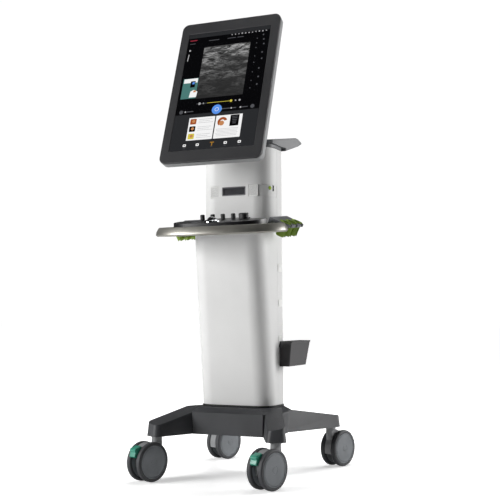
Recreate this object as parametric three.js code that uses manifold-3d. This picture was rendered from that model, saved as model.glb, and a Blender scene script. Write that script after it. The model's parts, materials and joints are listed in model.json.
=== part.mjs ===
// Veterinary ultrasound scanner on a wheeled cart: portrait touch monitor, tilting bracket,
// key console with probe holders, sheet column and a four-legged cast base on twin-wheel casters.
// Millimetres, +Z up, the front faces -Y. The origin is on the floor under the middle of the base.
import * as THREE from 'three';
import { mergeVertices } from 'three/addons/utils/BufferGeometryUtils.js';
import Module from 'manifold-3d';

// ---- driving dimensions ----
const GAP = 0.3; // clearance left between pieces that touch
const WALL = 3; // moulded cover wall

const WHEEL_DIAMETER = 125;
const WHEEL_WIDTH = 18.5; // one of the two wheels of a caster
const WHEEL_SPACING = 27; // between the inner faces of the twin wheels
const CASTER_TRAIL = 40; // stem axis to axle, seen from above
const CASTER_HEADING = 18.4; // degrees that every caster is turned from straight ahead
const AXLE_RADIUS = 6;
const NECK_RADIUS = 17;
const STEM_RADIUS = 10;
const STEM_LENGTH = 18; // part of the stem inside the leg

const TRACK_FRONT = 410;
const TRACK_REAR = 440;
const WHEELBASE = 479;
const LEG_CLEARANCE = 14; // wheel top to the underside of a leg
const LEG_TIP_HEIGHT = 39;
const LEG_TIP_WIDTH = 64;
const LEG_TIP_CORNER = 20;
const LEG_OVERHANG = 25; // leg beyond the caster stem
const FRONT_LEG_START = [121, -58];
const FRONT_LEG_ROOT_WIDTH = 68;
const REAR_LEG_START = [92, -10];
const REAR_LEG_ROOT_WIDTH = 88;
const LEG_CANT = 5; // outer top edge of a front leg above its middle
const HUB_HEIGHT = 86;
const HUB_EDGE_DROP = 12; // from the pad under the column down to the hub's edge
const HUB_FRONT = -149;
const HUB_BACK = 66;
const HUB_PAD_INSET = 20; // from the hub's edge to the pad
const HUB_HALF_WIDTH = 158;

const GASKET_HEIGHT = 6;
const COLUMN_HALF_BOTTOM = 129;
const COLUMN_HALF_TOP = 123;
const COLUMN_FRONT_BOTTOM = -99;
const COLUMN_FRONT_KNEE = -179; // front of the lower column under the console
const COLUMN_FRONT_TOP = -97.5; // front of the upper column
const COLUMN_BACK = 41;
const COLUMN_SEAM = -20; // joint between front covers and rear cover
const COLUMN_TOP = 1078;
const FRONT_RADIUS = 57; // rounded front corners of the column
const BACK_RADIUS = 25;
const KNEE_HEIGHT = 786; // top of the lower column at its front

const SPINE_WIDTH = 80;
const SPINE_DEPTH = 30;
const SPINE_WALL = 4;

const SUPPLY_RISE = 18.4; // power supply above the bottom of the column
const SUPPLY_HEIGHT = 170;
const ENGINE_CLEARANCE = 50;
const ENGINE_HEIGHT = 140;

const BAND_BOTTOM = 915; // band of speakers, vent and ports round the upper column
const BAND_TOP = 953;
const VENT_WIDTH = 84;
const VENT_HEIGHT = 29;
const VENT_SLATS = 6;
const GRILLE_WIDTH = 33;
const GRILLE_OFFSET = 70;
const BUTTON_RADIUS = 6.5;
const BUTTON_ANGLE = 26.5; // degrees round the front corner of the column
const SOCKET_ANGLE = 9;
const PORT_HEIGHT = 943;

const CONNECTOR_Z = 660; // middle of the probe connector panel on the left side
const CONNECTOR_HEIGHT = 96;
const CONNECTOR_FRONT = -92;
const CONNECTOR_BACK = -32;

const CONSOLE_SLOPE = 6.6; // degrees, front edge lower
const CONSOLE_FRONT = -339;
const CONSOLE_TIP_X = 223;
const CONSOLE_TIP_Y = -209;
const CONSOLE_BACK = -150;
const CONSOLE_BRIDGE = 128; // width of the deck's bridge to the column
const RIM_HEIGHT = 28;
const RIM_WIDTH = 21;
const TRAY_HEIGHT = 12;
const DECK_HALF_WIDTH = 157;
const DECK_INSET = 50; // front of the key deck behind the front of the rim
const DECK_SLOPE = 10.5;
const DECK_FRONT_HEIGHT = 806; // where the plane of the deck's top passes the inside of the rim
const BALL_RADIUS = 17;
const BALL_RISE = 1; // centre of the ball above the deck
const BALL_Y = -264;
const KNOB_Y = -180;
const KNOB_PITCH = 36.5;
const KNOB_RADIUS = 7.5;
const KNOB_HEIGHT = 19;
const DIAL_RADIUS = 16;
const KEY_OFFSET = 56;

const HOLDER_INNER = 152; // inner edge of a probe holder from the middle
const HOLDER_WIDTH = 70;
const HOLDER_FRONT = -149;
const HOLDER_LENGTH = 152;
const HOLDER_RISE = 48; // inner edge above the plane of the console
const HOLDER_TILT = 26;
const HOLDER_PLATE = 10;
const CUP_COUNT = 3;
const CUP_BORE = 14;
const CUP_WALL = 2.6;
const CUP_DEPTH = 46;
const CUP_SLOT = 15;

const MONITOR_TILT = 19.1; // degrees leaned back
const BEZEL_SIDE = 30; // frame beside the display
const BEZEL_END = 42.5; // frame above and below the display
const MONITOR_RADIUS = 22;
const MONITOR_DEPTH = 36;
const BEZEL_DEPTH = 8;
const DISPLAY_WIDTH = 296;
const DISPLAY_HEIGHT = 445;
const GLASS_THICKNESS = 3.5;
const PIVOT_REACH = 84.5; // tilt pivot in front of the upper column
const PIVOT_RISE = 67; // tilt pivot above the top of the column
const DISPLAY_FORWARD = 22.1; // middle of the display in front of the pivot
const DISPLAY_RISE = 113.1; // middle of the display above the pivot
const SHAFT_RADIUS = 8;
const BRACKET_HALF_WIDTH = 28;
const LUG_THICKNESS = 15;

const HANDLE_BACK = 154;
const HANDLE_HALF_BACK = 150;
const HANDLE_GRIP = 26; // thickness of the arms and the rear bar, seen from above

const BIN_BOTTOM = 356;
const BIN_TOP = 424;
const BIN_BACK_TOP = 439;
const BIN_WIDTH = 43;
const BIN_FRONT = -16;
const BIN_LENGTH = 190;
const BIN_WALL = 2.6;

const wheelRadius = WHEEL_DIAMETER / 2;
const legBottom = WHEEL_DIAMETER + LEG_CLEARANCE;
const HUB_TOP = legBottom + HUB_HEIGHT;
const HUB_EDGE = HUB_TOP - HUB_EDGE_DROP;
const columnBottom = HUB_TOP + GASKET_HEIGHT + 2 * GAP;
const MONITOR_WIDTH = DISPLAY_WIDTH + 2 * BEZEL_SIDE;
const MONITOR_HEIGHT = DISPLAY_HEIGHT + 2 * BEZEL_END;
const PIVOT_Y = COLUMN_FRONT_TOP - PIVOT_REACH;
const PIVOT_Z = COLUMN_TOP + PIVOT_RISE;
const MONITOR_Y = PIVOT_Y - DISPLAY_FORWARD;
const MONITOR_Z = PIVOT_Z + DISPLAY_RISE;
const rad = THREE.MathUtils.degToRad;
const consoleRise = Math.tan(rad(CONSOLE_SLOPE));
const consoleBase = KNEE_HEIGHT + GAP;
const consolePlane = (y) => consoleBase + (y - COLUMN_FRONT_KNEE) * consoleRise;

// ---- helpers ----
const wasm = await Module();
wasm.setup();

function toSolid(geometry) {
  const bare = geometry.clone();
  bare.deleteAttribute('normal');
  bare.deleteAttribute('uv');
  const merged = mergeVertices(bare, 1e-4);
  const vertProperties = new Float32Array(merged.attributes.position.array);
  const triVerts = new Uint32Array(merged.index.array);
  return new wasm.Manifold(new wasm.Mesh({ numProp: 3, vertProperties, triVerts }));
}

function toGeometry(solid) {
  const mesh = solid.getMesh();
  const geometry = new THREE.BufferGeometry();
  geometry.setAttribute('position', new THREE.BufferAttribute(new Float32Array(mesh.vertProperties), 3));
  geometry.setIndex(new THREE.BufferAttribute(new Uint32Array(mesh.triVerts), 1));
  return geometry;
}

const join = (first, ...others) => toGeometry(others.reduce((all, one) => all.add(toSolid(one)), toSolid(first)));
const cut = (first, ...others) => toGeometry(others.reduce((left, one) => left.subtract(toSolid(one)), toSolid(first)));
const common = (first, second) => toGeometry(toSolid(first).intersect(toSolid(second)));

function block(x0, x1, y0, y1, z0, z1) {
  const geometry = new THREE.BoxGeometry(x1 - x0, y1 - y0, z1 - z0);
  return geometry.translate((x0 + x1) / 2, (y0 + y1) / 2, (z0 + z1) / 2);
}

// a flat outline in X and Y, given as [x, y] points or a Shape, raised from z0 to z1
function raised(outline, z0, z1) {
  const shape = outline.isShape ? outline : new THREE.Shape(outline.map(([x, y]) => new THREE.Vector2(x, y)));
  const settings = { depth: z1 - z0, bevelEnabled: false, curveSegments: 8 };
  return new THREE.ExtrudeGeometry(shape, settings).translate(0, 0, z0);
}

// an outline in Y and Z, given as [y, z] points, spread across X from x0 to x1
function spread(outline, x0, x1) {
  const basis = new THREE.Matrix4().makeBasis(
    new THREE.Vector3(0, 1, 0),
    new THREE.Vector3(0, 0, 1),
    new THREE.Vector3(1, 0, 0),
  );
  return raised(outline, x0, x1).applyMatrix4(basis);
}

// a round piece about Z from [radius, z] points that run upwards from axis to axis, or close on themselves
function turned(profile, segments = 24) {
  const points = profile.map(([radius, z]) => new THREE.Vector2(radius, z));
  return new THREE.LatheGeometry(points, segments).rotateX(Math.PI / 2);
}

function disc(radius, z0, z1, segments = 24) {
  const upright = new THREE.CylinderGeometry(radius, radius, z1 - z0, segments).rotateX(Math.PI / 2);
  return upright.translate(0, 0, (z0 + z1) / 2);
}

// a body between closed rings of points that lie one above the other and turn anticlockwise
function loft(rings) {
  const count = rings[0].length;
  const positions = rings.flat().flatMap((point) => [point.x, point.y, point.z]);
  const index = [];
  for (let level = 0; level < rings.length - 1; level += 1) {
    for (let i = 0; i < count; i += 1) {
      const a = level * count + i;
      const b = level * count + ((i + 1) % count);
      index.push(a, b, b + count, a, b + count, a + count);
    }
  }
  const cap = (ring, start, up) => {
    const flat = ring.map((point) => new THREE.Vector2(point.x, point.y));
    for (const [i, j, k] of THREE.ShapeUtils.triangulateShape(flat, [])) {
      const turn = THREE.ShapeUtils.area([flat[i], flat[j], flat[k]]) > 0;
      index.push(start + i, ...(turn === up ? [start + j, start + k] : [start + k, start + j]));
    }
  };
  cap(rings[0], 0, false);
  cap(rings.at(-1), (rings.length - 1) * count, true);
  const geometry = new THREE.BufferGeometry();
  geometry.setAttribute('position', new THREE.Float32BufferAttribute(positions, 3));
  geometry.setIndex(index);
  return geometry;
}

function arc(cx, cy, radius, from, to, steps = 6) {
  const at = (i) => rad(from + ((to - from) * i) / steps);
  const point = (t) => [cx + radius * Math.cos(t), cy + radius * Math.sin(t)];
  return Array.from({ length: steps + 1 }, (_, i) => point(at(i)));
}

function roundedRectangle(width, height, radius) {
  const x = width / 2 - radius;
  const y = height / 2 - radius;
  return [...arc(x, y, radius, 0, 90), ...arc(-x, y, radius, 90, 180), ...arc(-x, -y, radius, 180, 270),
    ...arc(x, -y, radius, 270, 360)];
}

const finishes = {
  whitePanel: [0xd9d9d6, 0.45, 0],
  greyTrim: [0x6f7072, 0.5, 0],
  darkCast: [0x3c3d40, 0.55, 0.2],
  darkPlastic: [0x303134, 0.5, 0],
  blackPlastic: [0x17181a, 0.45, 0],
  blackRubber: [0x1c1c1e, 0.85, 0],
  wheelGrey: [0x5b5d60, 0.6, 0],
  taupeMetal: [0x85827b, 0.35, 0.8],
  polishedRing: [0xc9cacb, 0.15, 1],
  limeRubber: [0x7fa52c, 0.6, 0],
  tealPlastic: [0x2f8a72, 0.45, 0],
  screenGlass: [0x050607, 0.08, 0],
  steel: [0x9a9c9f, 0.35, 1],
  whiteLever: [0xe4e4e2, 0.4, 0],
  circuitCase: [0x8d9093, 0.5, 0.6],
};

const scanner = new THREE.Group();

function piece(parent, name, geometry, finish, position = [0, 0, 0], rotation = [0, 0, 0]) {
  const [color, roughness, metalness] = finishes[finish];
  const mesh = new THREE.Mesh(geometry, new THREE.MeshStandardMaterial({ color, roughness, metalness }));
  mesh.name = name;
  mesh.position.set(...position);
  mesh.rotation.set(...rotation);
  parent.add(mesh);
  return mesh;
}

// ---- casters ----
const wheelInner = WHEEL_SPACING / 2;
const wheelOuter = wheelInner + WHEEL_WIDTH;
const housingHalf = wheelInner - 1;

function twinWheels() {
  const tread = wheelRadius;
  const half = [
    [AXLE_RADIUS, wheelInner - 0.4],
    [tread - 14, wheelInner - 0.4],
    [tread - 2.5, wheelInner],
    [tread, wheelInner + 3],
    [tread, wheelOuter - 5],
    [tread - 4, wheelOuter - 0.8],
    [tread - 9, wheelOuter],
    [tread - 10, wheelOuter - 1.5],
    [tread - 11, wheelOuter - 0.6],
    [0, wheelOuter - 0.4],
  ];
  const mirrored = half.map(([radius, x]) => [radius, -x]).reverse();
  return turned([...mirrored, ...half], 30).rotateZ(Math.PI / 2).rotateY(Math.PI / 2);
}

const roundAxle = (radius, degrees) => [
  CASTER_TRAIL + radius * Math.cos(rad(degrees)),
  wheelRadius + radius * Math.sin(rad(degrees)),
];

function casterHousing() {
  const hood = [];
  for (let angle = 56; angle <= 196; angle += 14) hood.push(roundAxle(wheelRadius - 3, angle));
  const lower = [[34, 230], [28, 270], [34, 310], [40, 340], [40, 10], [40, 40], [43, 50]];
  const outline = [...hood, ...lower.map(([radius, angle]) => roundAxle(radius, angle))];
  const cheeks = spread(outline, -housingHalf, housingHalf);
  const neck = disc(NECK_RADIUS, wheelRadius + 30, legBottom - GAP);
  const neckRoom = block(-housingHalf - 0.01, housingHalf + 0.01, -NECK_RADIUS, NECK_RADIUS, wheelRadius, legBottom);
  const slimNeck = common(neck, neckRoom);
  const collar = disc(NECK_RADIUS, WHEEL_DIAMETER + 1, legBottom - GAP);
  const stem = disc(STEM_RADIUS, legBottom - 2, legBottom + STEM_LENGTH - 1);
  const bore = disc(AXLE_RADIUS + GAP, -wheelInner, wheelInner).rotateY(Math.PI / 2)
    .translate(0, CASTER_TRAIL, wheelRadius);
  return cut(join(cheeks, slimNeck, collar, stem), bore);
}

function brakePedal() {
  const outer = [[67, 53], [69, 46], [77, 38], [77, 32], [70, 29], [69, 18]];
  const inner = [[61, 16], [53, 20], [51, 32], [51, 42], [56, 52]];
  const outline = [...outer, ...inner].map(([radius, angle]) => roundAxle(radius, angle));
  return spread(outline, -housingHalf, housingHalf);
}

const casterPlaces = [
  ['front_left', -TRACK_FRONT / 2, -WHEELBASE / 2, 180 - CASTER_HEADING],
  ['front_right', TRACK_FRONT / 2, -WHEELBASE / 2, 180 - CASTER_HEADING],
  ['rear_left', -TRACK_REAR / 2, WHEELBASE / 2, -CASTER_HEADING],
  ['rear_right', TRACK_REAR / 2, WHEELBASE / 2, -CASTER_HEADING],
];
for (const [place, x, y, heading] of casterPlaces) {
  const caster = new THREE.Group();
  caster.position.set(x, y, 0);
  caster.rotation.z = rad(heading);
  scanner.add(caster);
  piece(caster, `caster_housing_${place}`, casterHousing(), 'greyTrim');
  piece(caster, `twin_wheels_${place}`, twinWheels(), 'wheelGrey', [0, CASTER_TRAIL, wheelRadius]);
  piece(caster, `brake_pedal_${place}`, brakePedal(), place.startsWith('front') ? 'tealPlastic' : 'darkPlastic');
}

// ---- base ----
// one leg runs from [x0, y0] near the hub out past the stem at [x1, y1]; its top leans by cant across its width
function leg([x0, y0], [x1, y1], rootWidth, rootTop, cant) {
  const start = new THREE.Vector2(x0, y0);
  const along = new THREE.Vector2(x1 - x0, y1 - y0);
  const reach = along.length() + LEG_OVERHANG;
  const tip = LEG_TIP_WIDTH / 2;
  const corner = LEG_TIP_CORNER;
  const plan = [
    [0, -rootWidth / 2],
    ...arc(reach - corner, -tip + corner, corner, -90, 0, 4),
    ...arc(reach - corner, tip - corner, corner, 0, 90, 4),
    [0, rootWidth / 2],
  ];
  const tipTop = legBottom + LEG_TIP_HEIGHT;
  const direction = along.clone().normalize();
  const place = (distance, side, z) => new THREE.Vector3(
    start.x + direction.x * distance - direction.y * side,
    start.y + direction.y * distance + direction.x * side,
    z,
  );
  const bottomRing = plan.map(([d, s]) => place(d, s, legBottom));
  const topRing = plan.map(([d, s]) => {
    const inset = 1 - 5 / tip;
    const shorter = d > 0 ? d - 3 : d;
    const height = THREE.MathUtils.mapLinear(d, 0, reach, rootTop, tipTop);
    return place(shorter, s * inset, height + (cant * s) / tip);
  });
  const underPad = block(-900, 900, -900, 900, 0, HUB_TOP - 1);
  return common(loft([bottomRing, topRing]), underPad);
}

// the hub is bowed at the front and rises from its edge to the pad that carries the column
function hubRing(inset, z) {
  const half = HUB_HALF_WIDTH - inset;
  const front = HUB_FRONT + inset;
  const back = HUB_BACK - inset;
  const right = [[half - 33, front], [half - 2, front + 55], [half, front + 90], [half - 8, back - 22], [half - 34, back]];
  const left = right.map(([x, y]) => [-x, y]).reverse();
  return [...right, ...left].map(([x, y]) => new THREE.Vector3(x, y, z));
}
const hubRings = [hubRing(3, legBottom), hubRing(0, HUB_EDGE - 4), hubRing(4, HUB_EDGE), hubRing(HUB_PAD_INSET, HUB_TOP)];
const hub = loft(hubRings);
const legs = casterPlaces.map(([place, x, y]) => {
  const side = Math.sign(x);
  const mirrored = (point) => [side * point[0], point[1]];
  return place.startsWith('front')
    ? leg(mirrored(FRONT_LEG_START), [x, y], FRONT_LEG_ROOT_WIDTH, HUB_TOP + 7, side * LEG_CANT)
    : leg(mirrored(REAR_LEG_START), [x, y], REAR_LEG_ROOT_WIDTH, HUB_EDGE + 8, 0);
});
const stemBores = casterPlaces.map(([, x, y]) =>
  disc(STEM_RADIUS + GAP, legBottom - 10, legBottom + STEM_LENGTH).translate(x, y, 0));
piece(scanner, 'base_frame', cut(join(hub, ...legs), ...stemBores), 'darkCast');

// ---- column ----
// front cover section: side wall, rounded corner, front wall, corner, side wall, then back inside
function frontSection(half, front, back) {
  const radius = FRONT_RADIUS;
  const walk = (grow) => [
    [-half + grow, back],
    ...arc(-half + radius, front + radius, radius - grow, 180, 270),
    ...arc(half - radius, front + radius, radius - grow, 270, 360),
    [half - grow, back],
  ];
  return [...walk(0), ...walk(WALL).reverse()];
}

function rearSection(half, front) {
  const walk = (grow) => [
    [half - grow, front],
    ...arc(half - BACK_RADIUS, COLUMN_BACK - BACK_RADIUS, BACK_RADIUS - grow, 0, 90),
    ...arc(-half + BACK_RADIUS, COLUMN_BACK - BACK_RADIUS, BACK_RADIUS - grow, 90, 180),
    [-half + grow, front],
  ];
  return [...walk(0), ...walk(WALL).reverse()];
}

const lift = (outline, height) => outline.map(([x, y]) => new THREE.Vector3(x, y, height(y)));
const frontSeam = COLUMN_SEAM - GAP / 2;
const rearSeam = COLUMN_SEAM + GAP / 2;

const gasketHalf = COLUMN_HALF_BOTTOM + 1.5;
const gasketOutline = [
  ...arc(-gasketHalf + FRONT_RADIUS, COLUMN_FRONT_BOTTOM - 2 + FRONT_RADIUS, FRONT_RADIUS, 180, 270),
  ...arc(gasketHalf - FRONT_RADIUS, COLUMN_FRONT_BOTTOM - 2 + FRONT_RADIUS, FRONT_RADIUS, 270, 360),
  ...arc(gasketHalf - BACK_RADIUS, COLUMN_BACK + 1 - BACK_RADIUS, BACK_RADIUS, 0, 90),
  ...arc(-gasketHalf + BACK_RADIUS, COLUMN_BACK + 1 - BACK_RADIUS, BACK_RADIUS, 90, 180),
];
const spineBack = COLUMN_SEAM + 42;
const spineFront = spineBack - SPINE_DEPTH;
const spineHalf = SPINE_WIDTH / 2;
const spineRoom = block(-spineHalf - GAP, spineHalf + GAP, spineFront - GAP, spineBack + GAP, 0, COLUMN_TOP + 50);
const gasket = raised(gasketOutline, HUB_TOP + GAP, HUB_TOP + GAP + GASKET_HEIGHT);
piece(scanner, 'base_gasket', cut(gasket, spineRoom), 'blackRubber');

const spine = cut(
  block(-spineHalf, spineHalf, spineFront, spineBack, HUB_TOP + GAP, COLUMN_TOP - GAP),
  block(-spineHalf + SPINE_WALL, spineHalf - SPINE_WALL, spineFront + SPINE_WALL, spineBack - SPINE_WALL, 0, 2000),
);
piece(scanner, 'column_spine', spine, 'steel');

const lowerTop = (y) => consolePlane(y) - GAP;
const lowerCover = loft([
  lift(frontSection(COLUMN_HALF_BOTTOM, COLUMN_FRONT_BOTTOM, frontSeam), () => columnBottom),
  lift(frontSection(COLUMN_HALF_TOP, COLUMN_FRONT_KNEE, frontSeam), lowerTop),
]);
const connectorOuter = COLUMN_HALF_TOP + 4;
const connectorHole = block(-connectorOuter - 9, -connectorOuter + 16, CONNECTOR_FRONT - GAP, CONNECTOR_BACK + GAP,
  CONNECTOR_Z - CONNECTOR_HEIGHT / 2 - GAP, CONNECTOR_Z + CONNECTOR_HEIGHT / 2 + GAP);
piece(scanner, 'lower_front_cover', cut(lowerCover, connectorHole), 'whitePanel');

const connectorBlock = block(-connectorOuter, -connectorOuter + 24, CONNECTOR_FRONT, CONNECTOR_BACK,
  CONNECTOR_Z - CONNECTOR_HEIGHT / 2, CONNECTOR_Z + CONNECTOR_HEIGHT / 2);
const connectorPorts = [-1, 1].map((side) => block(-connectorOuter - 5, -connectorOuter + 14, CONNECTOR_FRONT + 8,
  CONNECTOR_BACK - 8, CONNECTOR_Z + side * 23 - 13, CONNECTOR_Z + side * 23 + 13));
piece(scanner, 'probe_connector_panel', cut(connectorBlock, ...connectorPorts), 'darkPlastic');

const upperBottom = (y) => consolePlane(y) + GAP;
const upperCover = loft([
  lift(frontSection(COLUMN_HALF_TOP, COLUMN_FRONT_TOP, frontSeam), upperBottom),
  lift(frontSection(COLUMN_HALF_TOP, COLUMN_FRONT_TOP, frontSeam), () => COLUMN_TOP),
]);
const bandMiddle = (BAND_BOTTOM + BAND_TOP) / 2;
const cornerX = COLUMN_HALF_TOP - FRONT_RADIUS;
const cornerY = COLUMN_FRONT_TOP + FRONT_RADIUS;
// the port panel follows the front right corner of the column and its flat side
function portOutline(outer, inner, angle, end) {
  return [
    ...arc(cornerX, cornerY, outer, -angle, 0, 8),
    [cornerX + outer, end],
    [cornerX + inner, end],
    ...arc(cornerX, cornerY, inner, 0, -angle, 8),
  ];
}
const panelOuter = FRONT_RADIUS - 0.6;
const panelEnd = COLUMN_SEAM - 4;
const panelRoom = raised(portOutline(FRONT_RADIUS + 5, FRONT_RADIUS - 6, 66.4, panelEnd + GAP), BAND_BOTTOM - GAP,
  BAND_TOP + GAP);
const frontHole = (x, halfWidth, z, halfHeight) => block(x - halfWidth, x + halfWidth, COLUMN_FRONT_TOP - 5,
  COLUMN_FRONT_TOP + WALL + 5, z - halfHeight, z + halfHeight);
const bracketRoom = frontHole(0, BRACKET_HALF_WIDTH + 1, COLUMN_TOP - 23, 20);
const grilleHalf = GRILLE_WIDTH / 2;
const grilleRooms = [-1, 1].map((side) => frontHole(side * GRILLE_OFFSET, grilleHalf + GAP, bandMiddle,
  (BAND_TOP - BAND_BOTTOM) / 2 + GAP));
const ventRoom = frontHole(0, VENT_WIDTH / 2 + GAP, bandMiddle, VENT_HEIGHT / 2 + GAP);
piece(scanner, 'upper_front_cover', cut(upperCover, panelRoom, ventRoom, bracketRoom, ...grilleRooms), 'whitePanel');

const inletRoom = block(-26, 26, COLUMN_BACK - 10, COLUMN_BACK + 5, 272, 306);
const rearCover = loft([
  lift(rearSection(COLUMN_HALF_BOTTOM, rearSeam), () => columnBottom),
  lift(rearSection(COLUMN_HALF_TOP, rearSeam), () => KNEE_HEIGHT + 12),
  lift(rearSection(COLUMN_HALF_TOP, rearSeam), () => COLUMN_TOP),
]);
piece(scanner, 'rear_cover', cut(rearCover, inletRoom), 'whitePanel');

const inletBody = join(
  block(-25.7, 25.7, COLUMN_BACK - WALL - 12, COLUMN_BACK + GAP, 272.3, 305.7),
  block(-30, 30, COLUMN_BACK + GAP, COLUMN_BACK + 2.5, 268, 310),
);
const inletSocket = block(-13.5, 13.5, COLUMN_BACK - 9, COLUMN_BACK + 6, 279, 299);
piece(scanner, 'mains_inlet', cut(inletBody, inletSocket), 'blackPlastic');

// ---- band of vent, grilles and ports ----
function ventLouvre() {
  const halfWidth = VENT_WIDTH / 2;
  const halfHeight = VENT_HEIGHT / 2;
  const frame = cut(
    block(-halfWidth, halfWidth, 0, 8, -halfHeight, halfHeight),
    block(-halfWidth + 3, halfWidth - 3, -5, 15, -halfHeight + 3, halfHeight - 3),
  );
  const pitch = (VENT_HEIGHT - 6) / VENT_SLATS;
  const slats = Array.from({ length: VENT_SLATS }, (_, i) => {
    const z = -halfHeight + 3 + pitch * (i + 0.5);
    return spread([[1.5, z - 1.6], [2.6, z - 1.6], [6.5, z + 1.2], [5.4, z + 1.2]], -halfWidth + 2, halfWidth - 2);
  });
  return join(frame, ...slats);
}
piece(scanner, 'front_vent_louvre', ventLouvre(), 'darkPlastic', [0, COLUMN_FRONT_TOP + 0.8, bandMiddle]);

function speakerGrille() {
  const height = BAND_TOP - BAND_BOTTOM;
  const plate = block(-grilleHalf, grilleHalf, 0, 2.2, -height / 2, height / 2);
  const slots = Array.from({ length: 6 }, (_, i) => {
    const z = (i - 2.5) * 5.6;
    return block(-grilleHalf + 4, grilleHalf - 4, -1, 4, z - 1.2, z + 1.2);
  });
  return cut(plate, ...slots);
}
for (const [place, side] of [['left', -1], ['right', 1]]) {
  piece(scanner, `speaker_grille_${place}`, speakerGrille(), 'whiteLever',
    [side * GRILLE_OFFSET, COLUMN_FRONT_TOP + 0.5, bandMiddle]);
}

// pieces set square to the rounded corner are built pointing along +X of this group
function onCorner(angle) {
  const group = new THREE.Group();
  group.position.set(cornerX, cornerY, PORT_HEIGHT);
  group.rotation.z = rad(-angle);
  return group;
}
const turnedToCorner = (geometry, angle) => geometry.rotateZ(rad(-angle)).translate(cornerX, cornerY, PORT_HEIGHT);
const buttonBore = turnedToCorner(disc(BUTTON_RADIUS + GAP, -70, 70).rotateY(Math.PI / 2), BUTTON_ANGLE);
const socketSize = [8.5, 19];
const socketRoom = turnedToCorner(block(30, 80, -socketSize[0] / 2 - GAP, socketSize[0] / 2 + GAP,
  -socketSize[1] / 2 - GAP, socketSize[1] / 2 + GAP), SOCKET_ANGLE);
const panel = raised(portOutline(panelOuter, panelOuter - WALL, 66, panelEnd), BAND_BOTTOM, BAND_TOP);
piece(scanner, 'side_port_panel', cut(panel, common(buttonBore, block(cornerX, 200, -200, 0, 900, 1000)), socketRoom),
  'whitePanel');

const buttonGroup = onCorner(BUTTON_ANGLE);
scanner.add(buttonGroup);
const buttonProfile = [[0, 48], [BUTTON_RADIUS - 2, 48], [BUTTON_RADIUS, 50], [BUTTON_RADIUS, 57.6], [5, 58.6], [0, 58.8]];
piece(buttonGroup, 'power_button', turned(buttonProfile, 20), 'limeRubber', [0, 0, 0], [0, Math.PI / 2, 0]);

const socketGroup = onCorner(SOCKET_ANGLE);
scanner.add(socketGroup);
const socketBody = block(40, 56.8, -socketSize[0] / 2, socketSize[0] / 2, -socketSize[1] / 2, socketSize[1] / 2);
const socketMouths = [-1, 1].map((side) => block(46, 60, -2.6, 2.6, side * 4.7 - 3.4, side * 4.7 + 3.4));
piece(socketGroup, 'usb_socket', cut(socketBody, ...socketMouths), 'blackPlastic');

// ---- inside the column ----
const supplyBottom = columnBottom + SUPPLY_RISE;
const engineBottom = supplyBottom + SUPPLY_HEIGHT + ENGINE_CLEARANCE;
piece(scanner, 'power_supply', block(-58, 58, -88, spineFront - 1, supplyBottom, supplyBottom + SUPPLY_HEIGHT),
  'circuitCase');
piece(scanner, 'ultrasound_engine', block(-80, 80, -118, spineFront - 1, engineBottom, engineBottom + ENGINE_HEIGHT),
  'circuitCase');
const filterFront = COLUMN_FRONT_TOP + 0.8 + 8 + GAP;
piece(scanner, 'dust_filter', block(-VENT_WIDTH / 2, VENT_WIDTH / 2, filterFront, filterFront + 4, BAND_BOTTOM + 1,
  BAND_TOP - 1), 'blackRubber');
const fanFrame = cut(
  block(-32, 32, -84, -62, bandMiddle - 32, bandMiddle + 32),
  disc(29, -16, 40, 20).rotateX(Math.PI / 2).translate(0, -70, bandMiddle),
);
const fanStrut = block(-31, 31, -65, -62, bandMiddle - 4, bandMiddle + 4);
piece(scanner, 'fan_frame', join(fanFrame, fanStrut), 'blackPlastic');
const blades = Array.from({ length: 5 }, (_, i) =>
  block(8, 27.5, -4, 4, -1, 1).rotateX(rad(28)).rotateZ(rad(i * 72)));
const rotor = join(disc(10, -6, 5, 16), ...blades);
piece(scanner, 'fan_rotor', rotor, 'darkPlastic', [0, -73, bandMiddle], [Math.PI / 2, 0, 0]);

// ---- top of the column ----
const capOutline = [
  ...arc(-COLUMN_HALF_TOP + FRONT_RADIUS, cornerY, FRONT_RADIUS, 180, 270),
  ...arc(COLUMN_HALF_TOP - FRONT_RADIUS, cornerY, FRONT_RADIUS, 270, 360),
  ...arc(COLUMN_HALF_TOP - BACK_RADIUS, COLUMN_BACK - BACK_RADIUS, BACK_RADIUS, 0, 90),
  ...arc(-COLUMN_HALF_TOP + BACK_RADIUS, COLUMN_BACK - BACK_RADIUS, BACK_RADIUS, 90, 180),
];
const capTop = COLUMN_TOP + 13;
piece(scanner, 'column_top_cap', raised(capOutline, COLUMN_TOP + GAP, capTop), 'greyTrim');

function rearHandle() {
  const half = COLUMN_HALF_TOP + 2;
  const wing = spread([
    [-88, capTop + GAP], [COLUMN_BACK + GAP, capTop + GAP], [COLUMN_BACK + GAP, COLUMN_TOP + 3],
    [HANDLE_BACK, COLUMN_TOP + 44], [HANDLE_BACK, COLUMN_TOP + 49], [100, COLUMN_TOP + 57], [-88, COLUMN_TOP + 23],
  ], -HANDLE_HALF_BACK, HANDLE_HALF_BACK);
  const plan = raised([
    [-half + 20, -88], [half - 20, -88], [half, -60], [half, 20], [HANDLE_HALF_BACK, 112],
    [HANDLE_HALF_BACK - 3, HANDLE_BACK], [-HANDLE_HALF_BACK + 3, HANDLE_BACK], [-HANDLE_HALF_BACK, 112],
    [-half, 20], [-half, -60],
  ], COLUMN_TOP, COLUMN_TOP + 80);
  const handRoom = raised([
    [-half + HANDLE_GRIP, COLUMN_BACK + 12], [half - HANDLE_GRIP, COLUMN_BACK + 12],
    [HANDLE_HALF_BACK - HANDLE_GRIP, HANDLE_BACK - HANDLE_GRIP],
    [-HANDLE_HALF_BACK + HANDLE_GRIP, HANDLE_BACK - HANDLE_GRIP],
  ], COLUMN_TOP - 10, COLUMN_TOP + 90);
  return cut(common(wing, plan), handRoom);
}
piece(scanner, 'rear_handle', rearHandle(), 'greyTrim');

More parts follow.
